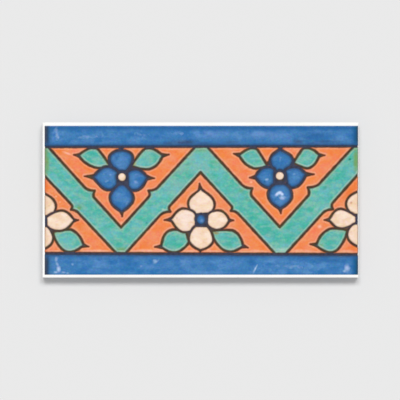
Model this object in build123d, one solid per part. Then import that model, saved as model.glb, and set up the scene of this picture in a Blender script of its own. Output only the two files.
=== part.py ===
from build123d import *
import math
import os

os.makedirs("parts", exist_ok=True)

# Ceramic border tile, glazed by the dry-cord method: dark outlines drawn on the fired clay keep
# the coloured glazes apart, and each glaze stands up as a flat-topped pool between its lines.
# Frame: X along the tile, Y across it, Z up through the glaze. The back lies on z = 0.

# Glazed face, and the clay left bare round it, which is narrowest at the right end
glazed_length = 150.0
glazed_width = 71.2
glazed_corner = 0.5
bare_left = 1.2
bare_right = 0.2
bare_top = 1.8
bare_bottom = 1.4

# Body
body_thickness = 9.5        # up to the level of the drawn lines
arris_radius = 0.2          # worn top edge of the bare clay
foot_chamfer = 0.5          # bottom edge, from the press

# Keying grooves on the back, open at both ends
groove_count = 6
groove_pitch = 11.0
groove_mouth = 6.0
groove_depth = 0.9
groove_flare = 20.0         # lean of a groove wall from the vertical, in degrees

# Pools of glaze
glaze_height = 0.5          # top of a pool above the drawn lines
line_width = 1.05           # drawn outline
smallest_cell = 1.0         # area below which a cell takes no glaze, in mm2

# Repeat: points of orange ground from the top line and from the bottom line, half a pitch apart
pattern_pitch = 76.0
pattern_shift = -0.4        # the drawing sits a little left of the tile's middle
field_width = 51.2          # between the middles of the two long lines
ground_half_base = 34.6
ground_height = 38.2
ground_overrun = 10.0       # the sides are drawn on past the long line and cut off there
cusp_place = 22.0           # along a side, from the ground's point
cusp_height = 1.75
cusp_flank = 3.0            # where a flank leaves the side, from the cusp's middle
cusp_cap = 0.9              # brush tip past the cusp

# Flowers. A petal row holds: direction in degrees from the flower's axis, inner end, widest
# place, outer end, half width there, half width at the inner end, end of the whisker (0 for
# none), how drawn out its tip is and how full it is below the widest place, both from 0 to 1.
# Distances are from the middle of the flower's eye.
top_eye_drop = 14.3         # from the long line to the eye, flowers on the top line
top_eye_radius = 1.95
top_petals = [
    (180.0, 2.8, 8.0, 12.4, 5.15, 1.7, 0.0, 0.2, 0.4),
    (0.0, 3.85, 9.5, 15.9, 5.5, 1.2, 18.4, 0.5, 0.75),
    (91.0, 3.0, 6.3, 12.6, 4.8, 2.35, 16.1, 0.6, 0.6),
    (-91.0, 3.0, 6.3, 12.6, 4.8, 2.35, 16.1, 0.6, 0.6),
]
bottom_eye_drop = 16.1
bottom_eye_radius = 2.05
bottom_petals = [
    (0.0, 2.9, 7.2, 13.9, 5.9, 2.65, 17.1, 0.45, 0.9),
    (180.0, 3.1, 8.9, 13.7, 5.3, 2.4, 0.0, 0.25, 0.55),
    (90.0, 3.0, 8.1, 14.3, 4.75, 1.9, 17.3, 0.35, 0.85),
    (-90.0, 3.0, 8.1, 14.3, 4.75, 1.9, 17.3, 0.35, 0.85),
]
eye_blot = 3.9              # line colour round the eye, between the petals

# Leaves, one on each side of a flower and leaning to its long line. A leaf row holds: root from
# the eye, sideways and towards the long line, lean in degrees and length, then for its outer
# side, the one near the long line, and for its inner side the widest place as a share of the
# length, the half width there and how full it is below it.
top_leaf = (6.4, 5.6, 18.9, 13.8, (0.54, 5.2, 0.1), (0.44, 3.4, 0.35))
bottom_leaf = (6.4, 5.7, 25.0, 14.9, (0.57, 5.6, 0.5), (0.49, 3.9, 0.2))
leaf_root_width = 0.2
leaf_tip = 0.5              # how drawn out a leaf's tip is
leaf_whisker = 3.4          # past the tip

# Brush marks
whisker_root = 0.85         # half width where a whisker leaves its petal
whisker_end = 0.35

# Shape of a petal's curves: how far their pulls lie along and across it, as shares
tip_back = 0.35
tip_spread = 0.62
shoulder_forward = 0.55
outline_past_tip = 1.3      # an outline is this much wider where it turns round a tip

tile_length = bare_left + glazed_length + bare_right
tile_width = bare_bottom + glazed_width + bare_top
glazed_middle = ((bare_left - bare_right) / 2, (bare_bottom - bare_top) / 2)
half_line = line_width / 2


def spot(origin, turn, along, across):
    """Point that lies along and across a direction, turned in degrees from +X."""
    a = math.radians(turn)
    x = origin[0] + along * math.cos(a) - across * math.sin(a)
    y = origin[1] + along * math.sin(a) + across * math.cos(a)
    return (x, y)


def half_petal(origin, turn, side, inner, wide, outer, width, root, drawn, full):
    """Two curves of one side of a petal: from its outer end to the widest place, where they
    run level, and from there to its inner end."""

    def at(along, across):
        return spot(origin, turn, along, side * across)

    reach, back = outer - wide, wide - inner
    tip, shoulder, foot = at(outer, 0), at(wide, width), at(inner, root)
    tip_pull = at(outer - tip_back * drawn * reach, tip_spread * (1 - drawn) * width)
    over = at(wide + shoulder_forward * reach, width)
    under = at(inner + (0.9 - 0.45 * full) * back, width)
    hip = at(inner + 0.3 * (1 - full) * back, root + (0.3 + 0.25 * full) * (width - root))
    return [Bezier(tip, tip_pull, over, shoulder), Bezier(shoulder, under, hip, foot)]


def closed(left, right):
    """Face between the two sides of a petal, closed across its inner end."""
    return make_face([*left, *right, Line(left[1] @ 1, right[1] @ 1)])


def petal(origin, turn, row, grow):
    """Face of a petal, made larger all round by grow."""
    inner, wide, outer, width, root, drawn, full = row
    sizes = (inner - grow, wide, outer + outline_past_tip * grow, width + grow, root + grow)
    sides = [half_petal(origin, turn, side, *sizes, drawn, full) for side in (1, -1)]
    return closed(*sides)


def leaf(root, turn, outer_side, length, outer_row, inner_row, grow):
    """Face of a leaf; outer_side is 1 when the long line is on the left of its direction."""
    sides = []
    for side, (place, width, full) in ((outer_side, outer_row), (-outer_side, inner_row)):
        sizes = (-grow, place * length, length + outline_past_tip * grow, width + grow)
        foot = leaf_root_width + grow
        sides.append(half_petal(root, turn, side, *sizes, foot, leaf_tip, full))
    return closed(*sides)


def whisker(origin, turn, start, end):
    """Brush mark out of a petal's tip: it narrows to a round end."""
    sides = [(spot(origin, turn, start, s * whisker_root), spot(origin, turn, end, s * whisker_end))
             for s in (1, -1)]
    (root_left, end_left), (root_right, end_right) = sides
    last = spot(origin, turn, end + whisker_end, 0)
    return make_face([
        Line(root_left, end_left),
        ThreePointArc(end_left, last, end_right),
        Line(end_right, root_right),
        Line(root_right, root_left),
    ])


def ground_side(point, turn, inward, slope, grow):
    """Edges of one side of a ground, from its point to beyond its long line, and their two
    ends. Two hollow arcs leave the straight side and meet in a cusp, on the ground's own side:
    inward is 1 where that is the left of the direction. A smaller ground is met past the
    cusp's brush tip, a larger one inside the cusp's foot."""

    def at(along, across):
        return spot(point, turn, along, inward * across)

    low = -grow
    hollow = (cusp_flank**2 + cusp_height**2) / (2 * cusp_height)
    radius = hollow - low
    if low > 0:
        lean = math.atan2(cusp_flank, hollow - cusp_height)
    else:
        lean = math.asin(cusp_flank / radius)

    def arc(way, *angles):
        across = [cusp_flank - radius * math.sin(a) for a in angles]
        return [at(cusp_place + way * s, hollow - radius * math.cos(a))
                for s, a in zip(across, angles)]

    near = arc(-1, 0, lean / 2, lean)
    far = arc(1, lean, lean / 2, 0)
    start = at(low * math.tan(slope), low)
    end = at(math.hypot(ground_height, ground_half_base) + ground_overrun, low)
    edges = [Line(start, near[0]), ThreePointArc(*near), ThreePointArc(*far), Line(far[-1], end)]
    if low > 0:
        tip = at(cusp_place, cusp_height + cusp_cap)
        edges += [Line(near[-1], tip), Line(tip, far[0])]
    return edges, end


def ground(x, way, grow):
    """Face of one ground: a triangle on a long line, its point on the far side of the field,
    with a cusp drawn into it from the middle of each side. way is 1 on the top line."""
    point = (x, way * (field_width / 2 - ground_height))
    slope = math.atan2(ground_height, ground_half_base)
    turn = math.degrees(slope)
    right, right_end = ground_side(point, way * turn, way, slope, grow)
    left, left_end = ground_side(point, way * (180 - turn), -way, slope, grow)
    return make_face([*right, *left, Line(right_end, left_end)])


def strip(low_y, high_y):
    """Rectangle over the tile's whole length between two heights."""
    middle = Pos(0, (low_y + high_y) / 2, 0)
    return middle * Rectangle(tile_length, high_y - low_y)


def flower(x, way):
    """Shapes of one flower as (face, face with its outline round it), and its brush marks."""
    drop = top_eye_drop if way > 0 else bottom_eye_drop
    radius = top_eye_radius if way > 0 else bottom_eye_radius
    petals = top_petals if way > 0 else bottom_petals
    aside, above, lean, length, outer_row, inner_row = top_leaf if way > 0 else bottom_leaf
    eye = (x, way * (field_width / 2 - drop))
    middle = Pos(*eye, 0)
    shapes = [(middle * Circle(radius), middle * Circle(radius + line_width))]
    marks = [middle * Circle(eye_blot)]
    for turn, inner, wide, outer, width, foot, reach, drawn, full in petals:
        row = (inner, wide, outer, width, foot, drawn, full)
        way_out = turn - 90 * way
        shapes.append((petal(eye, way_out, row, 0), petal(eye, way_out, row, line_width)))
        if reach:
            marks.append(whisker(eye, way_out, outer, reach))
    for side in (1, -1):
        root = (eye[0] + side * aside, eye[1] + way * above)
        turn = way * lean if side > 0 else 180 - way * lean
        row = (root, turn, side * way, length, outer_row, inner_row)
        shapes.append((leaf(*row, 0), leaf(*row, line_width)))
        marks.append(whisker(root, turn, length, length + leaf_whisker))
    return shapes, marks


def glaze_cells():
    """Every pool of glaze, as flat faces."""
    glazed = RectangleRounded(glazed_length, glazed_width, glazed_corner)
    line_y = field_width / 2
    field = glazed & strip(-line_y + half_line, line_y - half_line)
    cells = list((glazed & strip(line_y + half_line, glazed_width)).faces())
    cells += (glazed & strip(-glazed_width, -line_y - half_line)).faces()
    repeats = int(glazed_length / pattern_pitch / 2) + 2
    ribbon = field
    for n in range(-2 * repeats, 2 * repeats + 1):
        way = 1 if n % 2 else -1
        x = pattern_shift + n * pattern_pitch / 2
        if abs(x) - ground_half_base > glazed_length / 2:
            continue
        ribbon -= ground(x, way, half_line)
        open_ground = field & ground(x, way, -half_line)
        shapes, marks = flower(x, way)
        for shape, outlined in shapes:
            cells += (open_ground & shape).faces()
            open_ground -= outlined
        for mark in marks:
            open_ground -= mark
        cells += open_ground.faces()
    cells += ribbon.faces()
    return [c for c in cells if c.area > smallest_cell]


def groove_section():
    """Section of one keying groove, across the tile."""
    narrow = groove_mouth - 2 * groove_depth * math.tan(math.radians(groove_flare))
    corners = [
        (-groove_mouth / 2, 0),
        (groove_mouth / 2, 0),
        (narrow / 2, groove_depth),
        (-narrow / 2, groove_depth),
    ]
    return make_face(Polyline(*corners, close=True))


def body():
    """Pressed clay slab, up to the level of the drawn lines."""
    slab = Box(tile_length, tile_width, body_thickness, align=(Align.CENTER, Align.CENTER, Align.MIN))
    slab = fillet(slab.edges().group_by(Axis.Z)[-1], arris_radius)
    slab = chamfer(slab.edges().group_by(Axis.Z)[0], foot_chamfer)
    groove = extrude(Plane.YZ * groove_section(), tile_length, both=True)
    for n in range(groove_count):
        slab -= Pos(0, (n - (groove_count - 1) / 2) * groove_pitch, 0) * groove
    return slab


tile = body()
for cell in glaze_cells():
    tile += extrude(Pos(*glazed_middle, body_thickness) * cell, glaze_height, dir=(0, 0, 1))
tile = tile.solid()
tile.label = "border_tile"
export_step(tile, "parts/border_tile.step")
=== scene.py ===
import math

import bpy
import numpy as np
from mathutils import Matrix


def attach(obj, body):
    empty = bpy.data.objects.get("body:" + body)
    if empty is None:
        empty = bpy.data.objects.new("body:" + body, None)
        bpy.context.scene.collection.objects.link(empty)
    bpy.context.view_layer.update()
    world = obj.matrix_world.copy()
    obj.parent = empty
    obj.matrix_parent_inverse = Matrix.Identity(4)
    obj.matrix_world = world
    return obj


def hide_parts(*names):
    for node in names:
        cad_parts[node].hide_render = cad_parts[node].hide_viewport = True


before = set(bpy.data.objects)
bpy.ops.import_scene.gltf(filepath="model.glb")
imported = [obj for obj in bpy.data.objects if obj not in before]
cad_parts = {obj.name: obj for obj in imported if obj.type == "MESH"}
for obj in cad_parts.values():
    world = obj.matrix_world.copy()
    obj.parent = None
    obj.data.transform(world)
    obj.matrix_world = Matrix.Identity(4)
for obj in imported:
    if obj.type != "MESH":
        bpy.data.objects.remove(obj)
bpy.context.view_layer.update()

# Clay body. One slab of pale clay, pressed with keying grooves along its back and fired once
# before it was glazed; it shows as a bare rim round the glaze, on the sides and on the back.
MM = 0.001
BODY_LENGTH = 151.4 * MM
BODY_WIDTH = 74.4 * MM
CLAY_TOP = 9.5 * MM
ARRIS = 0.2 * MM
FOOT = 0.5 * MM
GROOVES = 6
GROOVE_PITCH = 11.0 * MM
GROOVE_MOUTH = 6.0 * MM
GROOVE_DEPTH = 0.9 * MM
GROOVE_LEAN = math.tan(math.radians(20))
SIDE_POINTS = 8
TURN_POINTS = 6
TOP_POINTS = 60
MIDDLE_STATIONS = 120


def clay_section():
    """Closed outline across the tile, from the left foot round to the left side: a foot chamfer,
    six grooves whose walls lean, the other foot, a straight side, a quarter round at each top
    edge and a flat top."""
    half = BODY_WIDTH / 2
    groove = np.array([
        (-GROOVE_MOUTH / 2, 0), (-GROOVE_MOUTH / 2 + GROOVE_DEPTH * GROOVE_LEAN, GROOVE_DEPTH),
        (GROOVE_MOUTH / 2 - GROOVE_DEPTH * GROOVE_LEAN, GROOVE_DEPTH), (GROOVE_MOUTH / 2, 0),
    ])
    middles = (np.arange(GROOVES) - (GROOVES - 1) / 2) * GROOVE_PITCH
    back = np.concatenate([groove + (m, 0) for m in middles])
    side = np.linspace(FOOT, CLAY_TOP - ARRIS, SIDE_POINTS)
    turn = np.linspace(0, math.pi / 2, TURN_POINTS)[1:]
    right = np.column_stack([
        half - ARRIS + ARRIS * np.cos(turn), CLAY_TOP - ARRIS + ARRIS * np.sin(turn)
    ])
    top = np.linspace(half - ARRIS, ARRIS - half, TOP_POINTS)[1:-1]
    return np.concatenate([
        [(-half + FOOT, 0)], back, [(half - FOOT, 0)],
        np.column_stack([np.full(SIDE_POINTS, half), side]), right,
        np.column_stack([top, np.full(len(top), CLAY_TOP)]),
        right[::-1] * (-1, 1), np.column_stack([np.full(SIDE_POINTS, -half), side[::-1]]),
    ])


def new_piece(name, points, faces, material):
    """Mesh object of that name, with smooth faces and one material."""
    mesh = bpy.data.meshes.new(name)
    mesh.from_pydata(points, [], faces)
    mesh.shade_smooth()
    mesh.materials.append(material)
    piece = bpy.data.objects.new(name, mesh)
    bpy.context.scene.collection.objects.link(piece)
    return piece


def clay_mesh():
    """Points and faces of the slab: the section at stations along the tile, which stand closer
    near the ends, held between a top and a foot that close in towards both ends as the edges'
    rounding and chamfer do."""
    near = np.array([0, 0.03, 0.07, 0.12, 0.2, 0.35, 0.5, 1.0]) * MM
    middle = np.linspace(near[-1], BODY_LENGTH - near[-1], MIDDLE_STATIONS)[1:-1]
    along = np.concatenate([near, middle, BODY_LENGTH - near[::-1]])
    section = clay_section()
    from_end = np.minimum(along, BODY_LENGTH - along)[:, None]
    dip = np.clip(ARRIS - from_end, 0, None)
    highest = CLAY_TOP - ARRIS + np.sqrt(ARRIS**2 - dip**2)
    lowest = np.clip(FOOT - from_end, 0, None)
    stations, ring = len(along), len(section)
    x = np.repeat(along - BODY_LENGTH / 2, ring)
    y = np.tile(section[:, 0], stations)
    z = np.clip(section[:, 1][None, :], lowest, highest).ravel()
    first = (np.arange(stations - 1) * ring)[:, None] + np.arange(ring)
    after = (np.arange(stations - 1) * ring)[:, None] + (np.arange(ring) + 1) % ring
    sides = np.stack([first, first + ring, after + ring, after], -1).reshape(-1, 4)
    ends = [list(range(ring)), list(range(ring * stations - 1, ring * (stations - 1) - 1, -1))]
    return np.column_stack([x, y, z]), sides.tolist() + ends


def nodes_of(name):
    """New material, its shader, a function that adds a node of a type with its inputs set, and one
    that feeds an input with a value or with another node's output."""
    material = bpy.data.materials.new(name)
    material.use_nodes = True
    tree = material.node_tree
    shader = tree.nodes["Principled BSDF"]

    def add(kind, inputs=None, **settings):
        node = tree.nodes.new("ShaderNode" + kind)
        for key, value in settings.items():
            setattr(node, key, value)
        for key, value in (inputs or {}).items():
            feed(node.inputs[key], value)
        return node

    def feed(socket, value):
        if isinstance(value, bpy.types.NodeSocket):
            tree.links.new(value, socket)
        else:
            socket.default_value = value

    return material, shader, add, feed


def colour(red, green, blue):
    """Linear colour of an sRGB one given from 0 to 255."""
    c = np.array([red, green, blue]) / 255
    return (*np.where(c <= 0.04045, c / 12.92, ((c + 0.055) / 1.055) ** 2.4).tolist(), 1.0)


def mixed(add, share, low, high):
    """Colour between two, by a share from 0 to 1."""
    node = add("Mix", {0: share, 6: low, 7: high}, data_type="RGBA")
    return node.outputs[2]


def spread(add, value, low, high, to_low=0.0, to_high=1.0):
    """Value carried from one range onto another, and held inside it."""
    inputs = {"Value": value, 1: low, 2: high, 3: to_low, 4: to_high}
    return add("MapRange", inputs).outputs[0]


def grain(add, place, scale, detail=3.0, rough=0.55):
    """Noise about 0.5 at a scale in cycles a metre."""
    inputs = {"Vector": place, "Scale": scale, "Detail": detail, "Roughness": rough}
    return add("TexNoise", inputs).outputs[0]


def clay_material():
    """Fired clay: nearly white where the top's rim was wiped, more buff below the top edge, with
    faint clouds, fine darker grit and a dry, sandy face."""
    material, shader, add, feed = nodes_of("fired_clay")
    place = add("TexCoord").outputs["Object"]
    clouds = spread(add, grain(add, place, 60), 0.35, 0.65)
    wiped = mixed(add, clouds, colour(247, 246, 242), colour(252, 251, 250))
    buff = mixed(add, clouds, colour(222, 208, 186), colour(234, 222, 202))
    height = add("SeparateXYZ", {"Vector": place}).outputs["Z"]
    tone = mixed(add, spread(add, height, CLAY_TOP - 0.8 * MM, CLAY_TOP - 0.1 * MM), buff, wiped)
    grit = spread(add, grain(add, place, 2600, 2.0), 0.66, 0.76, 0.0, 0.6)
    feed(shader.inputs["Base Color"], mixed(add, grit, tone, colour(206, 190, 168)))
    feed(shader.inputs["Roughness"], 0.85)
    sand = add("Bump", {"Height": grain(add, place, 1500), "Strength": 0.3, "Distance": 0.00015})
    feed(shader.inputs["Normal"], sand.outputs[0])
    return material


clay_body = new_piece("clay_body", *clay_mesh(), clay_material())
clay_body.data.set_sharp_from_angle(angle=math.radians(30))

# Bounced light passes it by, or its pale sides would make the floor beside it too light
clay_body.visible_diffuse = False
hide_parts("border_tile")
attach(clay_body, "root")

# Drawn outlines. A fine matt line of manganese in grease, brushed over a pricked pattern on the
# bare clay; the grease burnt off in the glaze firing and left the lines dark and sunk between
# the glazes. The drawing is laid out on a sheet of 400 by 400 units, y downwards.
UNIT = 0.47923 * MM
SHEET_MIDDLE = np.array([201.5, 200.2])
GLAZE_MIDDLE = np.array([0.5, -0.1]) * MM
LEFT, RIGHT, TOP, BOTTOM = 44.53, 358.1, 125.65, 274.8
LINES, BLUE, TURQUOISE, ORANGE, CREAM = range(5)

# Width of a drawn line, and the share that it swells and thins by
LINE = 1.9
WAVER = 0.10

# The lines along the bands: height at the sheet's middle, slope and width
TOP_LINE = (146.85, -0.002, 1.6)
BOTTOM_LINE = (253.8, 0.0035, 2.1)

# How far from its corner a cusp's level side bends, how far its beak stands past the upright, how
# far from its corner the beak bends, and the points of each bend
BEND = 5.5
BEAK = 3.3
BEAK_BEND = 3.0
BEND_POINTS = 8

# Each ground is a corner, a cusp, the point, a cusp and a corner. A cusp is its tip's place, then
# where the stretch from the corner comes level with it, and where the one from the point does
GROUNDS = [
    ((-33.9, 253.6), (11.7, 209.6, 7.5, 204.3), (41.3, 172.5),
     (71.0, 209.6, 75.2, 204.3), (116.6, 253.6)),
    ((47.8, 146.6), (94.6, 190.8, 87.7, 198.1), (121.1, 227.4),
     (148.5, 190.8, 154.8, 197.2), (195.3, 146.6)),
    ((125.4, 253.6), (170.2, 211.7, 163.4, 205.6), (200.5, 172.4),
     (230.9, 210.8, 235.6, 205.4), (274.9, 253.6)),
    ((207.1, 146.6), (252.2, 188.4, 245.1, 196.6), (279.8, 227.1),
     (307.9, 187.5, 315.9, 196.1), (353.5, 146.6)),
    ((286.0, 253.6), (332.9, 209.4, 326.2, 202.7), (360.0, 172.3),
     (387.1, 209.4, 393.8, 202.7), (434.0, 253.6)),
]

# Each petal or leaf is its root, its tip, then for the side on the left of the way from root to
# tip and for the right one the widest place as a share of the length, the half width there, the
# half width at the root and how full the side is from there back; last, how drawn out the tip is
LEAVES = [
    ((108.3, 165.3), (79.6, 155.5), (0.42, 5.5, 0.3, 0.5), (0.55, 11.2, 0.3, 0.1), 0.5),
    ((132.8, 165.4), (161.8, 155.8), (0.55, 11.0, 0.3, 0.1), (0.50, 7.9, 0.3, 0.3), 0.5),
    ((265.8, 165.5), (240.1, 155.4), (0.40, 6.3, 0.3, 0.3), (0.55, 11.1, 0.3, 0.05), 0.5),
    ((294.8, 162.6), (318.6, 155.4), (0.51, 10.2, 0.3, 0.05), (0.45, 8.4, 0.3, 0.2), 0.5),
    ((187.2, 238.5), (161.9, 246.5), (0.50, 9.0, 3.0, 0.6), (0.52, 12.0, 5.5, 0.6), 0.5),
    ((212.8, 231.8), (242.3, 245.9), (0.55, 8.8, 0.3, 0.15), (0.58, 10.9, 0.3, 0.6), 0.5),
    ((54.2, 232.8), (82.7, 245.2), (0.48, 8.6, 0.3, 0.2), (0.56, 11.6, 0.3, 0.5), 0.5),
    ((346.2, 231.2), (317.0, 245.4), (0.58, 12.4, 0.3, 0.4), (0.46, 8.4, 0.3, 0.3), 0.5),
]
BLUE_PETALS = [
    ((121.5, 170.8), (121.2, 150.8), (0.62, 11.6, 4.0, 0.6), (0.64, 11.0, 4.2, 0.5), 0.15),
    ((117.0, 177.6), (92.8, 177.0), (0.30, 12.0, 6.5, 0.6), (0.38, 10.0, 5.0, 0.6), 0.75),
    ((128.0, 178.5), (147.2, 177.8), (0.38, 8.4, 5.2, 0.7), (0.32, 11.8, 7.6, 0.9), 0.6),
    ((121.7, 184.8), (121.5, 211.4), (0.48, 11.0, 1.5, 0.5), (0.48, 11.0, 1.5, 0.5), 0.55),
    ((279.9, 170.6), (280.0, 150.3), (0.47, 9.3, 4.0, 0.6), (0.48, 12.4, 4.0, 0.5), 0.5),
    ((273.8, 177.3), (255.7, 177.0), (0.22, 9.9, 6.8, 0.7), (0.38, 9.6, 7.2, 0.8), 0.5),
    ((286.7, 177.0), (305.4, 174.3), (0.40, 8.3, 6.0, 0.8), (0.26, 11.0, 7.0, 0.7), 0.5),
    ((280.1, 184.3), (280.0, 208.0), (0.45, 11.2, 3.0, 0.85), (0.45, 11.2, 3.0, 0.85), 0.45),
]
CREAM_PETALS = [
    ((202.3, 213.0), (200.6, 189.6), (0.41, 12.6, 5.5, 0.9), (0.33, 11.9, 6.0, 0.9), 0.7),
    ((195.0, 220.5), (171.2, 219.6), (0.42, 11.3, 4.5, 1.0), (0.47, 10.6, 4.5, 0.9), 0.7),
    ((207.9, 220.0), (228.2, 220.5), (0.50, 8.9, 3.5, 0.9), (0.45, 8.8, 2.5, 0.9), 0.35),
    ((201.0, 226.9), (200.5, 249.2), (0.56, 11.6, 5.6, 0.5), (0.51, 11.2, 5.2, 0.5), 0.35),
    ((43.3, 215.4), (42.3, 194.0), (0.39, 12.0, 5.0, 0.9), (0.40, 12.0, 5.0, 0.9), 0.4),
    ((47.2, 221.3), (73.4, 220.4), (0.53, 9.3, 3.5, 0.4), (0.45, 9.2, 3.5, 0.8), 0.55),
    ((43.0, 226.8), (42.0, 248.5), (0.52, 9.8, 3.0, 0.6), (0.52, 9.8, 3.0, 0.6), 0.3),
    ((360.0, 214.0), (360.5, 191.5), (0.44, 13.2, 5.0, 0.8), (0.44, 12.0, 5.0, 0.8), 0.4),
    ((355.5, 219.6), (329.8, 219.9), (0.54, 7.9, 2.0, 0.5), (0.58, 9.9, 2.5, 0.3), 0.6),
    ((360.0, 224.3), (360.5, 246.3), (0.46, 12.2, 5.0, 0.7), (0.46, 12.2, 5.0, 0.7), 0.35),
]

# Eyes: the middle, the two half widths and the glaze; round each, the brush left a blot
EYES = [
    (122.0, 177.1, 4.0, 4.0, CREAM), (279.8, 175.9, 4.1, 4.1, CREAM),
    (201.0, 219.6, 4.5, 5.0, BLUE), (41.0, 221.0, 4.0, 4.5, BLUE), (361.5, 220.0, 4.0, 4.5, BLUE),
]
BLOT = 8.2

# Corners between petals and leaves that the brush filled: the place and the size of the dab
DABS = [
    (108.8, 161.0, 1.8), (133.3, 160.8, 1.6), (131.6, 168.3, 2.6), (111.5, 166.5, 2.0), (268.4, 163.2, 1.8),
    (294.2, 159.8, 1.6), (293.8, 165.6, 2.2), (271.0, 166.5, 2.0), (187.4, 233.4, 2.2), (213.0, 230.0, 2.0),
    (347.6, 230.6, 2.0), (54.0, 231.0, 2.0), (119.3, 147.0, 1.6), (121.2, 147.8, 2.2), (123.0, 147.0, 1.6),
    (278.8, 146.9, 1.5), (280.2, 147.8, 1.9), (281.7, 146.9, 1.5),
]

# Whiskers: from a tip to the brush's last touch, with the half width at that end and what it gains
# towards the tip
WHISKER_END = 0.5
WHISKER_GAIN = 2.4
WHISKERS = [
    ((94.4, 177.0), (84.5, 176.3)), ((147.0, 177.8), (154.3, 178.4)),
    ((121.5, 210.5), (122.3, 216.4)), ((80.6, 155.7), (73.8, 154.9)),
    ((160.9, 155.8), (168.9, 154.7)), ((256.6, 177.2), (249.6, 177.7)),
    ((304.8, 174.4), (314.0, 174.3)), ((280.0, 207.4), (280.9, 213.4)),
    ((241.1, 155.5), (233.6, 153.8)), ((317.6, 155.5), (324.6, 155.3)),
    ((200.6, 190.9), (199.6, 183.7)), ((172.1, 219.6), (164.6, 220.1)),
    ((227.1, 220.4), (233.4, 220.4)), ((162.9, 246.4), (155.0, 247.0)),
    ((200.4, 247.9), (200.3, 252.5)), ((241.2, 245.6), (248.0, 247.6)),
    ((72.3, 220.4), (78.2, 220.2)), ((81.7, 245.1), (88.6, 246.8)),
    ((331.1, 220.1), (324.2, 220.0)), ((318.0, 245.1), (310.2, 244.2)),
]


def bezier(ends, pulls, count=12):
    """Points of a cubic curve between two ends, drawn by two pulls; the last end is left out."""
    t = np.linspace(0, 1, count, endpoint=False)[:, None]
    (a, d), (b, c) = np.array(ends), np.array(pulls)
    return (1 - t)**3 * a + 3 * (1 - t)**2 * t * b + 3 * (1 - t) * t**2 * c + t**3 * d


def petal_outline(root, tip, left, right, drawn):
    """Closed outline of a petal or leaf. On each side one curve runs from the tip to the widest
    place and one from there to the root. The tip's pull lies out to the side, and the more
    drawn out the tip is, the nearer to the petal's own line and the further back it lies. The
    fuller a side is, the nearer to the root and the further out lie the second curve's pulls."""
    root, tip = np.array(root), np.array(tip)
    length = np.linalg.norm(tip - root)
    way = (tip - root) / length

    def at(along, across):
        return root + way * along + np.array([way[1], -way[0]]) * across

    halves = []
    for sign, (place, width, foot, full) in ((1, left), (-1, right)):
        wide = place * length
        reach = length - wide
        shoulder = at(wide, sign * width)
        pull = at(length - 0.35 * drawn * reach, sign * 0.62 * (1 - drawn) * width)
        out = bezier((tip, shoulder), (pull, at(wide + 0.55 * reach, sign * width)))
        under = at((0.9 - 0.45 * full) * wide, sign * width)
        hip = at((0.3 - 0.3 * full) * wide, sign * (foot + (0.3 + 0.25 * full) * (width - foot)))
        back = bezier((shoulder, at(0, sign * foot)), (under, hip))
        halves.append(np.concatenate([out, back, [at(0, sign * foot)]]))
    return np.concatenate([halves[0], halves[1][:0:-1]])


def ground_outline(corner, cusp, point, other_cusp, other_corner):
    """Closed outline of a ground: from a corner down one side to the point and up the other, each
    side running on past its corner by a tenth, out of sight under the band's line. On each side
    the straight stretch from the corner bends over to the level and runs to the cusp's tip. The
    one from the point runs on past the upright under the tip, by a beak, and turns back to it."""
    sides = []
    for end, (tip_x, tip_y, level_x, upright_y) in ((corner, cusp), (other_corner, other_cusp)):
        tip = np.array((tip_x, tip_y))
        level = np.array((level_x, tip_y))
        upright = np.array((tip_x, upright_y))
        onward = (upright - point) / np.linalg.norm(upright - point)
        bends = []
        for start, turn, bend in ((end, level, BEND), (point, upright + BEAK * onward, BEAK_BEND)):
            way = start - turn
            foot = turn + way * bend / np.linalg.norm(way)
            t = np.linspace(0, 1, BEND_POINTS)[:, None]
            bends.append((1 - t)**2 * foot + 2 * (1 - t) * t * turn + t**2 * tip)
        under_line = level + 1.1 * (end - level)
        sides.append(np.concatenate([[under_line], bends[0], bends[1][-2::-1]]))
    return np.concatenate([sides[0], [point], sides[1][::-1]])


def measure(points, outline, reach=9.0):
    """For the points within reach of a closed outline's box: which they are, the distance of
    each to the nearest stretch of the outline, and whether it is inside, which it is when a
    line from it to the right crosses the outline an odd number of times."""
    low, high = outline.min(0) - reach, outline.max(0) + reach
    near = np.flatnonzero(((points > low) & (points < high)).all(1))
    p = points[near]
    best = np.full(len(p), np.inf)
    inside = np.zeros(len(p), bool)
    for a, b in zip(outline, np.roll(outline, -1, axis=0)):
        d = b - a
        size = d @ d
        if size < 1e-12:
            continue
        t = np.clip((p - a) @ d / size, 0, 1)
        gap = p - a - t[:, None] * d
        best = np.minimum(best, np.einsum("ij,ij->i", gap, gap))
        if d[1]:
            crosses = (a[1] > p[:, 1]) != (b[1] > p[:, 1])
            inside ^= crosses & (p[:, 0] < a[0] + (p[:, 1] - a[1]) * d[0] / d[1])
    return near, np.sqrt(best), inside


# Distance that stands for none measured yet
FAR = 99.0


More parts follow.
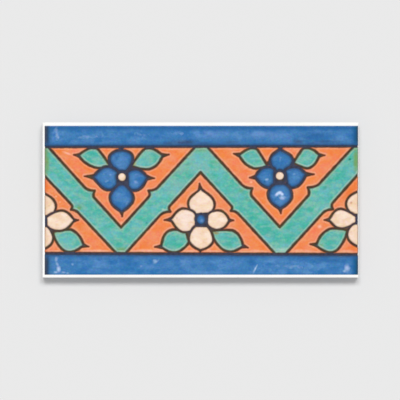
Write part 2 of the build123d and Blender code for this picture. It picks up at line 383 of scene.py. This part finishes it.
def drawing(points):
    """The drawing at points of the sheet, built up as it was painted: grounds, whiskers, dabs,
    leaves, petals, eyes, then the bands. Returns each point's distance from the nearest edge of a
    line, below zero on the line, and the glaze that its cell was filled with. The line's width
    swells and thins by a product of two slow sine waves. Beside a petal, leaf or eye, no point of
    a line counts as further below zero than its distance to that outline."""
    x, y = points.T
    line = LINE * (1 + WAVER * np.sin(0.31 * x + 1.3 * np.sin(0.17 * y)) * np.sin(0.23 * y + 2))
    gap = np.full(len(points), FAR)
    from_shape = np.full(len(points), FAR)
    glaze = np.full(len(points), TURQUOISE)
    for ground in GROUNDS:
        near, d, inside = measure(points, ground_outline(*ground))
        gap[near] = np.minimum(gap[near], d - line[near] / 2)
        glaze[near[inside]] = ORANGE
    for start, end in np.array(WHISKERS):
        d = end - start
        t = np.clip((points - start) @ d / (d @ d), 0, 1)
        width = WHISKER_END + WHISKER_GAIN * (1 - t)**1.25
        mark = np.linalg.norm(points - start - t[:, None] * d, axis=1) - width
        gap = np.where(glaze == ORANGE, np.minimum(gap, mark), gap)
    for ex, ey, size in [(ex, ey, BLOT) for ex, ey, *_ in EYES] + DABS:
        blot = np.hypot(x - ex, y - ey) - size
        gap = np.where(glaze == ORANGE, np.minimum(gap, blot), gap)
    shapes = [(petal_outline(*leaf), TURQUOISE) for leaf in LEAVES]
    shapes += [(petal_outline(*petal), BLUE) for petal in BLUE_PETALS]
    shapes += [(petal_outline(*petal), CREAM) for petal in CREAM_PETALS]
    turn = np.linspace(0, 2 * math.pi, 40, endpoint=False)
    for ex, ey, rx, ry, fill in EYES:
        shapes.append((np.column_stack([ex + rx * np.cos(turn), ey + ry * np.sin(turn)]), fill))
    for outline, fill in shapes:
        near, d, inside = measure(points, outline)
        gap[near] = np.where(inside, d, np.minimum(gap[near], d - line[near]))
        from_shape[near] = np.where(inside, FAR, np.minimum(from_shape[near], d))
        glaze[near[inside]] = fill
    gap = np.where(gap < 0, np.maximum(gap, -from_shape), gap)
    heights = [level + slope * (x - SHEET_MIDDLE[0]) for level, slope, _ in (TOP_LINE, BOTTOM_LINE)]
    beyond = np.maximum(heights[0] - y, y - heights[1])
    width = np.where(y < SHEET_MIDDLE[1], TOP_LINE[2], BOTTOM_LINE[2])
    stroke = np.abs(beyond) - width / 2 * line / LINE
    gap = np.where(beyond > 0, stroke, np.minimum(gap, stroke))
    return gap, np.where(beyond > 0, BLUE, glaze)


# Step of the lattice that the drawing is cut into, how much of it a point may slide, and the least
# that the distance's slope, squared, is reckoned as
STEP = 0.52
MOST_SLIDE = 0.62
LEAST_SLOPE = 0.3
across_count = round((RIGHT - LEFT) / STEP)
down_count = round((BOTTOM - TOP) / STEP)
sheet_x = np.linspace(LEFT, RIGHT, across_count + 1)
sheet_y = np.linspace(BOTTOM, TOP, down_count + 1)
lattice = np.stack(np.meshgrid(sheet_x, sheet_y), -1)
centres = (lattice[:-1, :-1] + lattice[1:, 1:]) / 2

corner_gap, corner_glaze = (m.reshape(lattice.shape[:2]) for m in drawing(lattice.reshape(-1, 2)))
centre_gap, centre_glaze = drawing(centres.reshape(-1, 2))
filled = np.where(centre_gap < 0, LINES, centre_glaze).reshape(centres.shape[:2])


def slide_to_edges():
    """Lattice whose points between a line's cell and a glaze's cell are slid onto the line's edge:
    back along the slope of the distance, by the distance, and never past the most they may."""
    padded = np.pad(filled == LINES, 1, mode="edge")
    around = np.stack([padded[:-1, :-1], padded[1:, :-1], padded[:-1, 1:], padded[1:, 1:]])
    between = around.any(0) & ~around.all(0)
    slope_y, slope_x = np.gradient(corner_gap, sheet_y, sheet_x)
    steep = np.maximum(slope_x**2 + slope_y**2, LEAST_SLOPE)
    slide = -corner_gap[..., None] * np.stack([slope_x, slope_y], -1) / steep[..., None]
    size = np.linalg.norm(slide, axis=-1, keepdims=True)
    slide *= np.minimum(1, MOST_SLIDE * STEP / np.maximum(size, 1e-9))
    on_rim = (lattice == (LEFT, TOP)) | (lattice == (RIGHT, BOTTOM))
    slide[on_rim] = 0
    return lattice + slide * between[..., None], np.where(between, 0, corner_gap)


placed, edge_gap = slide_to_edges()
rim_gap = np.minimum.reduce([
    lattice[..., 0] - LEFT, RIGHT - lattice[..., 0], lattice[..., 1] - TOP, BOTTOM - lattice[..., 1]
])

# Levels of the lines and of the rim's foot; how high a pool of glaze stands, the share of that
# which it rises steeply, and how far from its edge each of the two rises reaches
LINE_LEVEL = CLAY_TOP + 0.02 * MM
RIM_LEVEL = CLAY_TOP - 0.03 * MM
GLAZE_RISE = 0.45 * MM
STEEP_SHARE = 0.8
STEEP_REACH = 0.3 * MM
SLOW_REACH = 1.5 * MM


def surface(name, fill, material, **kept):
    """Makes a piece of the lattice cells with one filling. A glaze rises from its edges, steeply and
    then slowly: each rise is its share, times one less e to minus the distance over its reach.
    The lines lie low and flat. Each point keeps its distance in millimetres from the pool's
    edge and from the rim, and the further measures given."""
    rows, columns = np.nonzero(filled == fill)
    width = lattice.shape[1]
    first = rows * width + columns
    faces = np.stack([first, first + 1, first + width + 1, first + width], -1)
    used, faces = np.unique(faces, return_inverse=True)
    sheet = placed.reshape(-1, 2)[used]
    rim = rim_gap.ravel()[used] * UNIT
    edge = np.minimum(np.clip(edge_gap.ravel()[used], 0, None) * UNIT, rim)
    place = (sheet - SHEET_MIDDLE) * (1, -1) * UNIT + GLAZE_MIDDLE
    steep = STEEP_SHARE * (1 - np.exp(-edge / STEEP_REACH))
    slow = (1 - STEEP_SHARE) * (1 - np.exp(-edge / SLOW_REACH))
    rise = GLAZE_RISE * (steep + slow)
    level = np.where(rim < 0.01 * MM, RIM_LEVEL, LINE_LEVEL)
    height = level + (0 if fill == LINES else rise)
    points = np.column_stack([place, height])
    piece = new_piece(name, points, faces.reshape(-1, 4).tolist(), material)
    kept = {key: values.ravel()[used] for key, values in kept.items()}
    for key, values in {"edge": edge / MM, "rim": rim / MM, **kept}.items():
        piece.data.attributes.new(key, "FLOAT", "POINT").data.foreach_set("value", values)
    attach(piece, "root")


def marks(rows):
    """Share at each lattice point: the greatest of soft bells, each of them its strength times e
    to minus the squares of the distances along it and across it, counted in its half sizes."""
    share = np.zeros(lattice.shape[:2])
    for x, y, half_length, half_width, turn, strength in rows:
        lean = math.radians(turn)
        away = lattice - (x, y)
        along = away @ (math.cos(lean), math.sin(lean)) / half_length
        across = away @ (-math.sin(lean), math.cos(lean)) / half_width
        share = np.maximum(share, strength * np.exp(-along**2 - across**2))
    return share


def share_near(wanted, reach):
    """Share of the lattice points within a square window that are wanted, from running sums."""
    padded = np.pad(wanted.astype(float), reach, mode="edge")
    total = np.pad(padded.cumsum(0).cumsum(1), ((1, 0), (1, 0)))
    size = 2 * reach + 1
    window = total[size:, size:] - total[:-size, size:] - total[size:, :-size]
    return (window + total[:-size, :-size]) / size**2


# How strongly the glaze next to a line cools its brown to slate, and within how many steps; then
# the two half sizes, turn and strength of the cool mark that lies at each whisker's root and of
# the rusty one at its end
COOLING = {BLUE: 1.0, TURQUOISE: 0.15, CREAM: 0.4}
COOL_REACH = 6
COOL_ROOT = (4.5, 2.6, 0, 0.5)
RUSTY_END = (2.6, 2.6, 0, 1.0)
in_glaze = corner_gap > 0
cooling = in_glaze * sum(share * (corner_glaze == fill) for fill, share in COOLING.items())
near_glaze = np.maximum(share_near(in_glaze, COOL_REACH), 0.01)
cool = share_near(cooling, COOL_REACH) / near_glaze
cool = np.maximum(cool, marks([(*root, *COOL_ROOT) for root, _ in WHISKERS]))

# A whisker that runs into the bottom band's line has no rusty end
free_ends = [end for _, end in WHISKERS if end[1] < BOTTOM_LINE[0] - BOTTOM_LINE[2]]
whisker_ends = marks([(*end, *RUSTY_END) for end in free_ends])


def line_material():
    """Burnt manganese: a dry line, brown between warm glazes and slate beside cobalt, which
    stained it, uneven in strength, and rusty where a whisker runs out."""
    material, shader, add, feed = nodes_of("manganese_line")
    place = add("TexCoord").outputs["Object"]
    drift = spread(add, grain(add, place, 170), 0.35, 0.65)
    brown = mixed(add, drift, colour(78, 54, 46), colour(76, 64, 40))
    stain = add("Attribute", attribute_name="cool").outputs["Fac"]
    tone = mixed(add, spread(add, stain, 0.22, 0.6), brown, colour(58, 61, 80))
    rust = add("Attribute", attribute_name="rust").outputs["Fac"]
    tone = mixed(add, spread(add, rust, 0.1, 0.9, 0.0, 0.8), tone, colour(100, 44, 34))
    light = spread(add, grain(add, place, 700, 2.0), 0.3, 0.7, 0.75, 1.3)
    feed(shader.inputs["Base Color"], add("HueSaturation", {"Value": light, "Color": tone}).outputs[0])
    feed(shader.inputs["Roughness"], 0.6)
    crust = add("Bump", {"Height": grain(add, place, 1300), "Strength": 0.4, "Distance": 0.0001})
    feed(shader.inputs["Normal"], crust.outputs[0])
    return material


surface("drawn_lines", LINES, line_material(), cool=cool, rust=whisker_ends)

# Blue glaze. Cobalt glaze laid with a bulb on the two bands, the petals of the flowers on the top
# line and the eye of the others; it melted into thick pools that are cloudy inside and scuffed pale
# in places. It is darker along the top edge and at both ends, painted shade where the glaze turns
# down over the tile's edge, and one petal carries a painted glare.
left_end = (lattice[..., 0] - LEFT) * UNIT / MM
right_end = (RIGHT - lattice[..., 0]) * UNIT / MM
top_rim = (lattice[..., 1] - TOP) * UNIT / MM
line_below = np.clip(-np.gradient(corner_gap, sheet_y, axis=0), 0, 1)
edge_mm = np.clip(edge_gap, 0, None) * UNIT / MM

# A halo follows each line, in millimetres from its edge, where the glaze runs thin and pale. Painted
# light lies on it: it is palest where the line lies below it on the sheet, a painted highlight on the
# shoulders facing the light, and tan where it doesn't, painted shade on the shoulders turned away.
HALO_PLACE = 0.55
HALO_WIDTH = 0.5
halo = np.exp(-((edge_mm - HALO_PLACE) / HALO_WIDTH)**2)
pale_halo = halo * (0.35 + 0.65 * line_below)
tan_halo = halo * (1 - line_below)

# Each mark is its place on the sheet, half its length, half its width, its turn in degrees and its
# strength
# Pale scuffs in the glaze. The marks at 277 to 282 across on the lower petal of the right blue flower, and
# the one at 267 across, are a painted glare and glint, not wear.
BLUE_SCUFFS_AND_GLARE = [
    (57.0, 134, 8, 2.2, 86, 0.4), (58.2, 137.6, 2.4, 1.6, 90, 0.5), (88, 137, 14, 3, 0, 0.2),
    (143, 135, 10, 3, 0, 0.2), (181, 133.5, 5, 2, 0, 0.25), (56.4, 259, 2.6, 1.8, 90, 0.6),
    (57.5, 264.5, 2.8, 1.4, 70, 0.45), (58.6, 269.4, 3.2, 2.0, 80, 0.85), (56.0, 272.2, 2.2, 1.2, 0, 0.6),
    (63.5, 272.2, 3.0, 1.2, 0, 0.5), (72.6, 264.5, 1.5, 1.5, 0, 0.4), (67.5, 273.2, 1.6, 1.0, 0, 0.5),
    (141.4, 266.2, 1.6, 1.6, 0, 0.3), (155.0, 261.0, 4, 2.4, 0, 0.45), (255.6, 268.2, 4.2, 0.9, 116, 0.7),
    (293, 266.5, 20, 3, 0, 0.2), (302.5, 267.3, 1.6, 1.6, 0, 0.3), (347, 268.0, 3.6, 2.8, 100, 0.7),
    (344.8, 271, 1.8, 1.5, 0, 0.6), (277.2, 194.0, 2.1, 1.5, -45, 1.2), (279.6, 192.8, 2.7, 1.6, 0, 1.2),
    (282.0, 194.0, 2.0, 1.5, 45, 1.2), (282.0, 197.6, 3.6, 2.2, 10, 0.6), (267, 179.5, 2.0, 1.4, 0, 0.55),
    (280, 161, 1.0, 5, 0, 0.25), (294.5, 174.3, 1.8, 1.4, 0, 0.25), (270, 175, 1.6, 1.6, 0, 0.25),
    (104, 174, 2.4, 1.8, 0, 0.2), (110, 175, 2.0, 1.8, 0, 0.25), (106.5, 181, 2.4, 2.0, 0, 0.25),
    (136.5, 175, 2.4, 2.0, 0, 0.25), (135.5, 182, 2.0, 1.8, 0, 0.25), (121, 168.5, 4, 1.8, 0, 0.35),
    (127.5, 204, 2.2, 4.5, 35, 0.25), (201.8, 220.6, 2.2, 2.4, 0, 0.4),
]
BLUE_CLOUDS = [
    (215, 134, 14, 4.5, 0, 0.6), (262, 135, 24, 4.5, 0, 0.6), (136, 182.5, 2.5, 2, 0, 0.6),
    (236, 265, 6, 7, 0, 0.35), (180, 262, 12, 4, 0, 0.3), (100, 262, 10, 4, 0, 0.3),
]
BLUE_DEEPS = [
    (314, 136, 20, 5, 0, 0.8), (251, 262, 5, 4, 0, 0.5), (117, 158, 4, 3, -40, 0.6),
    (184, 139.5, 16, 3, 0, 0.5), (330, 260, 24, 4, 0, 0.6), (76, 130, 8, 2, 0, 0.4),
    (264.5, 181.8, 1.2, 1.2, 0, 0.9), (128, 262, 8, 4, 0, 0.35), (206, 264, 8, 5, 0, 0.35),
]
BLUE_SMUDGES = [
    (185, 142.7, 13, 2.6, 0, 0.95), (205, 144.0, 14, 1.8, 0, 0.65), (170, 143.6, 9, 2.0, 0, 0.65),
    (231, 142.6, 10, 2.4, 0, 0.5), (299, 142.0, 7, 2.6, 0, 0.6), (327, 141.8, 18, 2.6, 0, 0.5),
    (313, 143.4, 10, 1.8, 0, 0.5), (262, 144.4, 20, 1.4, 0, 0.35), (322, 256.2, 26, 1.8, 0, 0.4),
    (279.8, 196.3, 0.9, 0.8, 0, 0.6), (200.5, 255.4, 4, 1.4, 0, 0.5),
]


def glaze_material(name, body, clouds, layers):
    """Fired glaze. On its body colour lie clouds, each with its scale, its greatest share and its
    tone, where a stretched noise is high. Then come layers, each with its measure kept on the
    points, the values it comes in from and is full at, its greatest share and its tone. A fine
    grain overlays them all, and the face is glossy with faint waves."""
    material, shader, add, feed = nodes_of(name)
    place = add("TexCoord").outputs["Object"]
    tone = body
    for number, (scale, most, other) in enumerate(clouds):
        moved = {"Vector": place, "Location": (0.31 * number, 0.17, 0.0), "Scale": (0.6, 1.0, 1.0)}
        patches = grain(add, add("Mapping", moved).outputs[0], scale)
        tone = mixed(add, spread(add, patches, 0.45, 0.66, 0.0, most), tone, other)
    wobble = spread(add, grain(add, place, 420), 0.3, 0.7, -0.14, 0.14)
    for kept, first, last, most, other in layers:
        measured = add("Attribute", attribute_name=kept).outputs["Fac"]
        wavy = add("Math", {0: measured, 1: wobble}, operation="ADD").outputs[0]
        tone = mixed(add, spread(add, wavy, first, last, 0.0, most), tone, other)
    specks = add("TexNoise", {"Vector": place, "Scale": 1000.0, "Detail": 2.0}).outputs["Color"]
    inputs = {0: 0.3, 6: tone, 7: specks}
    grainy = add("Mix", inputs, data_type="RGBA", blend_type="OVERLAY").outputs[2]
    feed(shader.inputs["Base Color"], grainy)
    feed(shader.inputs["Roughness"], 0.14)
    feed(shader.inputs["IOR"], 1.5)
    waves = add("Bump", {"Height": grain(add, place, 260, 1.0), "Strength": 0.3, "Distance": 0.0002})
    feed(shader.inputs["Normal"], waves.outputs[0])
    return material


surface("blue_glaze", BLUE, glaze_material("blue_glaze", colour(58, 121, 179), [
    (70, 0.7, colour(80, 134, 188)), (230, 0.8, colour(90, 142, 198)), (330, 0.8, colour(38, 110, 174)),
], [
    ("deep", 0.12, 1.0, 0.9, colour(24, 90, 152)),
    ("cloud", 0.12, 1.0, 0.75, colour(112, 150, 204)),
    # Painted shade: darker along the top edge and towards both ends, where the glaze turns down over the
    # edge
    ("top", 3.0, 1.2, 0.9, colour(34, 98, 158)),
    ("right", 3.7, 1.6, 0.95, colour(22, 90, 142)),
    ("right", 1.5, 0.7, 0.85, colour(34, 76, 102)),
    ("left", 4.2, 1.9, 0.8, colour(46, 94, 138)),
    ("left", 2.6, 1.2, 0.95, colour(42, 62, 86)),
    ("left", 1.2, 0.7, 0.5, colour(84, 84, 96)),
    # Scuffs worn pale, and the painted glare on one petal
    ("scuff", 0.12, 1.0, 0.95, colour(196, 218, 248)),
    ("smudge", 0.12, 1.0, 0.9, colour(56, 56, 78)),
    ("ink", 2.9, 0.9, 0.5, colour(46, 100, 156)),
    ("ink", 1.3, 0.2, 0.8, colour(44, 72, 108)),
    ("ink", 0.5, 0.0, 0.7, colour(60, 62, 78)),
    ("top", 0.65, 0.2, 0.45, colour(150, 168, 196)),
]), left=left_end, right=right_end, top=top_rim, ink=edge_mm, deep=marks(BLUE_DEEPS),
    cloud=marks(BLUE_CLOUDS), scuff=marks(BLUE_SCUFFS_AND_GLARE), smudge=marks(BLUE_SMUDGES))

# Turquoise glaze. Copper glaze in the zigzag ribbon and the leaves; it is cloudy, runs thin and
# pale beside the lines, with painted highlight and shade on the shoulders there and a few painted
# highlights, and turns olive where it ran thin over the ends and the apexes.
OLIVE_RUNS = [
    (47.5, 163, 2.6, 13, 0, 0.9), (355.8, 160.5, 2.8, 12, 0, 1.1), (121.7, 249.3, 8, 2.4, 0, 0.9),
    (200, 149.8, 12, 2.8, 0, 0.65), (355, 149.5, 3, 2, 0, 0.9), (47, 151, 3, 3, 0, 0.7),
    (78.8, 208.2, 2.5, 2.5, 0, 1.1), (55, 233, 2.2, 2, 0, 0.8), (321, 245.4, 2.5, 2.0, 0, 0.7),
    (302, 230, 4, 2.5, 0, 0.4), (79, 206.5, 4.5, 4.5, 0, 0.45), (241, 191, 4, 3, 0, 0.4),
    (214, 161, 10, 3, 45, 0.3), (176, 172, 10, 3, -45, 0.3),
]
RUST_SPOTS = [
    (215.8, 233.0, 3.4, 1.7, 15, 1.0), (46, 158, 1.0, 8, 0, 0.45), (54.8, 233.2, 1.2, 1.2, 0, 0.5),
]
STRAW_ROOTS = [
    (133.8, 164.3, 2.8, 1.8, -25, 1.1), (107.3, 163.8, 1.5, 1.3, 0, 0.7),
]
TEAL_SPECKS = [
    (349.9, 159.2, 1.6, 1.2, 0, 1.15), (146.8, 223, 1.2, 1.1, 0, 0.8), (131, 222, 1.4, 1.2, 0, 0.5),
    (105, 233.3, 1.6, 1.3, 0, 0.45), (103, 216.2, 1.2, 1.2, 0, 0.45), (248, 200, 3, 2.4, 30, 0.4),
    (325, 188, 3, 2.2, -40, 0.45), (152, 205, 2.5, 2, 0, 0.35), (188, 164, 2.4, 1.8, 0, 0.4),
]
# Pale runs; the spot at 163 across and the strips along the lower edges at 249 and 247 down are painted
# highlights
PALE_RUNS_AND_HIGHLIGHTS = [
    (162.8, 209.6, 1.4, 1.3, 0, 0.9), (281.7, 249.6, 8, 2.0, 0, 0.8), (316, 209, 3.2, 2.4, -30, 0.5),
    (122, 151, 4, 1.6, 0, 0.3), (83, 247.2, 4, 1.6, 10, 0.4),
]
surface("turquoise_glaze", TURQUOISE, glaze_material(
    "turquoise_glaze", colour(86, 181, 168), [
        (55, 0.9, colour(128, 184, 176)), (75, 0.9, colour(66, 174, 162)), (200, 0.8, colour(64, 178, 152)),
        (260, 0.8, colour(104, 184, 192)), (420, 0.7, colour(132, 188, 172)),
    ], [
        ("olive", 0.12, 1.0, 0.95, colour(114, 160, 96)),
        # Pale runs, with painted highlights among them
        ("pale", 0.12, 1.0, 0.9, colour(176, 208, 196)),
        # Halo beside the lines: pale thin glaze, with painted highlight on the shoulders facing the light
        # and painted shade on the others
        ("tan_halo", 0.1, 1.0, 0.7, colour(140, 176, 146)),
        ("pale_halo", 0.1, 1.0, 0.85, colour(172, 200, 184)),
        ("left", 1.8, 0.2, 0.7, colour(118, 140, 88)),
        ("straw", 0.12, 1.0, 0.9, colour(166, 174, 116)),
        ("rust", 0.12, 1.0, 0.9, colour(150, 142, 76)),
        ("speck", 0.12, 1.0, 0.9, colour(24, 120, 100)),
        ("edge", 0.55, 0.0, 0.8, colour(72, 66, 48)),
        ("rim", 0.6, 0.1, 0.45, colour(150, 160, 126)),
    ]), left=left_end, tan_halo=tan_halo, pale_halo=pale_halo, olive=marks(OLIVE_RUNS),
    straw=marks(STRAW_ROOTS), rust=marks(RUST_SPOTS), speck=marks(TEAL_SPECKS), pale=marks(PALE_RUNS_AND_HIGHLIGHTS))

# Orange glaze. Opaque orange in the grounds behind the flowers, pinker where it lies thick, and
# peach where it thins beside the lines, with painted highlight and shade on the shoulders there. Its
# few small pale spots are painted glints, and pale strips above the bottom line painted highlight.
# Peach marks. The small pale spots at 67, 56, 60, 251 and 320 across are painted glints, and the long
# strips just above the bottom line are painted highlight.
PEACH_SPOTS = [
    (67.5, 153.4, 4.6, 1.1, 22, 1.0), (56.2, 196.5, 1.3, 1.1, 0, 0.8), (60, 202.3, 1.3, 1.1, 0, 0.7),
    (251.2, 182.2, 1.4, 1.2, 0, 1.0), (319.8, 226.5, 2.0, 1.6, 0, 1.0), (148, 250.6, 16, 1.5, 0, 0.7),
    (313, 185.6, 4.4, 1.5, -10, 0.6), (319.4, 153.4, 2.4, 1.2, 20, 0.5), (121.4, 222.6, 2, 1.6, 0, 0.6),
    (95, 250.6, 12, 1.4, 0, 0.6), (300, 250.6, 10, 1.4, 0, 0.6), (190, 250.8, 7, 1.2, 0, 0.6),
    (212, 250.8, 7, 1.2, 0, 0.6), (347, 250.8, 7, 1.2, 0, 0.55), (256, 250.6, 8, 1.2, 0, 0.55),
    (181, 205.2, 3.2, 1.6, -20, 0.6), (66, 158, 3, 1.5, 40, 0.3),
]
PINK_PATCHES = [
    (77, 167, 4, 3, 0, 0.7), (82, 171, 4, 3, 40, 0.7), (90, 240, 5, 4, 0, 0.7), (335.6, 158, 5, 4, 0, 0.6),
    (325.3, 164.8, 5, 4, 0, 0.5), (313, 231.5, 5, 6, 30, 0.7), (140, 237, 7, 4, -45, 0.5),
    (47, 246, 6, 5, 0, 0.5), (232, 205, 7, 3, 45, 0.4), (151, 163, 6, 3, -45, 0.4),
    (100, 190, 4, 3, 45, 0.4), (305, 247, 6, 3, 0, 0.5),
]
RED_RUNS = [
    (46.8, 186.5, 1.6, 5, 0, 0.9), (354.8, 186, 2.0, 7, 0, 0.9), (58, 150.5, 6, 1.6, 0, 0.6),
    (90, 170, 5, 3, 40, 0.5), (220, 151, 7, 2, 0, 0.5), (340, 151, 8, 2, 0, 0.4), (354, 247, 5, 5, 0, 0.9),
    (145, 243, 6, 3, -45, 0.5), (322, 212, 3, 4, 30, 0.5), (350, 193, 6, 12, 25, 0.95),
    (79, 226, 4, 9, -40, 0.6), (162, 214, 7, 5, -45, 0.55), (228, 203, 3, 9, -40, 0.45),
    (61, 153, 7, 2.5, 30, 0.5), (110, 208, 4, 8, -40, 0.4), (262, 208, 3, 9, -40, 0.4),
]
surface("orange_glaze", ORANGE, glaze_material(
    "orange_glaze", colour(239, 134, 80), [
        (90, 0.8, colour(242, 134, 108)), (130, 0.8, colour(240, 134, 62)),
        (280, 0.8, colour(240, 128, 62)), (360, 0.8, colour(238, 150, 106)),
    ], [
        ("pink", 0.12, 1.0, 0.9, colour(242, 124, 94)),
        # Halo beside the lines: pale thin glaze, with painted highlight on the shoulders facing the light
        # and painted shade on the others
        ("tan_halo", 0.1, 1.0, 0.5, colour(236, 158, 118)),
        ("pale_halo", 0.1, 1.0, 0.85, colour(242, 172, 140)),
        ("red", 0.12, 1.0, 0.85, colour(234, 118, 40)),
        # Peach spots: painted glints, and painted highlight above the bottom line
        ("peach", 0.12, 1.0, 0.95, colour(250, 186, 158)),
        ("left", 1.6, 0.2, 0.6, colour(206, 108, 70)),
        ("edge", 0.5, 0.0, 0.8, colour(98, 56, 40)),
        ("rim", 0.6, 0.1, 0.5, colour(190, 118, 80)),
    ]), left=left_end, tan_halo=tan_halo, pale_halo=pale_halo, pink=marks(PINK_PATCHES),
    red=marks(RED_RUNS), peach=marks(PEACH_SPOTS))

# Cream glaze. Tin-white glaze, warm with iron, in the petals on the bottom line and two eyes, with
# a few iron specks and a tan edge.
IRON_SPECKS = [
    (176.8, 218, 1.2, 1.2, 0, 0.6), (51, 212.5, 1.3, 1.2, 0, 0.6), (49, 206, 1.2, 1.2, 0, 0.4),
    (351.2, 202.7, 1.3, 1.2, 0, 0.9), (351, 232, 1.2, 2.4, 0, 0.25),
]
WARM_PATCHES = [
    (335.2, 219.5, 4, 6, 0, 0.6), (356, 200, 4, 8, 0, 0.7), (356, 236, 3, 8, 0, 0.6),
    (47, 205, 4, 10, 0, 0.6), (210, 203, 4, 5, 0, 0.4), (190, 205, 3, 5, 0, 0.3), (352, 215, 3, 4, 0, 0.4),
    (47, 240, 4, 6, 0, 0.6),
]
surface("cream_glaze", CREAM, glaze_material(
    "cream_glaze", colour(244, 216, 190), [
        (120, 0.8, colour(245, 221, 212)), (300, 0.8, colour(236, 200, 164)),
        (420, 0.7, colour(251, 232, 216)),
    ], [
        ("warm", 0.12, 1.0, 0.9, colour(236, 200, 162)),
        ("left", 2.0, 0.3, 0.7, colour(220, 184, 154)),
        ("iron", 0.12, 1.0, 0.85, colour(192, 138, 102)),
        ("edge", 0.9, 0.3, 0.4, colour(228, 194, 162)),
        ("edge", 0.48, 0.0, 0.75, colour(112, 78, 66)),
        ("rim", 0.7, 0.1, 0.5, colour(192, 160, 136)),
    ]), left=left_end, iron=marks(IRON_SPECKS), warm=marks(WARM_PATCHES))

# Studio: a plain pale floor, two soft key lights high on the far side, a sharper fill straight
# above and a faint even light all round. No lamp shows in the glazes, so no lamp glare falls on the
# face; the glints on it are painted.
FLOOR_TONE = 0.767
WORLD_LIGHT = 0.17
floor_mesh = bpy.data.meshes.new("floor")
floor_mesh.from_pydata([(-3, -3, 0), (3, -3, 0), (3, 3, 0), (-3, 3, 0)], [], [(0, 1, 2, 3)])
floor = bpy.data.objects.new("floor", floor_mesh)
bpy.context.scene.collection.objects.link(floor)
floor_paint, floor_shader, _, _ = nodes_of("floor_paint")
floor_shader.inputs["Base Color"].default_value = (FLOOR_TONE, FLOOR_TONE, FLOOR_TONE, 1)
floor_shader.inputs["Roughness"].default_value = 1.0
floor_shader.inputs["Specular IOR Level"].default_value = 0.0
floor_mesh.materials.append(floor_paint)


def sun(name, strength, tilt_x, tilt_y, spread_angle):
    """Distant light that leans from the vertical by an angle towards +X and towards +Y, and isn't
    seen in reflections. All angles are in degrees."""
    light = bpy.data.lights.new(name, "SUN")
    light.energy = strength
    light.angle = math.radians(spread_angle)
    lamp = bpy.data.objects.new(name, light)
    lamp.rotation_euler = (math.radians(-tilt_y), math.radians(tilt_x), 0)
    lamp.visible_glossy = False
    bpy.context.scene.collection.objects.link(lamp)


sun("key_left", 1.035, -5, 19.5, 15)
sun("key_right", 1.035, 9.5, 19.5, 15)
sun("fill", 0.895, 0, 0, 3)

world = bpy.data.worlds.new("studio")
world.use_nodes = True
background = world.node_tree.nodes["Background"]
background.inputs["Color"].default_value = (1, 1, 1, 1)
background.inputs["Strength"].default_value = WORLD_LIGHT
bpy.context.scene.world = world

# Camera: a long lens high above the tile, looking straight down. At the face's height the picture
# is as wide as the sheet, 400 of its units.
PICTURE = 400
camera = bpy.data.objects.new("camera", bpy.data.cameras.new("camera"))
camera.data.lens = 400
camera.data.clip_start, camera.data.clip_end = 0.01, 10
camera_place = (PICTURE / 2 - SHEET_MIDDLE) * (1, -1) * UNIT + GLAZE_MIDDLE
camera_height = PICTURE * UNIT * camera.data.lens / camera.data.sensor_width
camera.location = (*camera_place, CLAY_TOP + GLAZE_RISE / 2 + camera_height)
bpy.context.scene.collection.objects.link(camera)
bpy.context.scene.camera = camera
bpy.context.scene.view_settings.view_transform = "Standard"
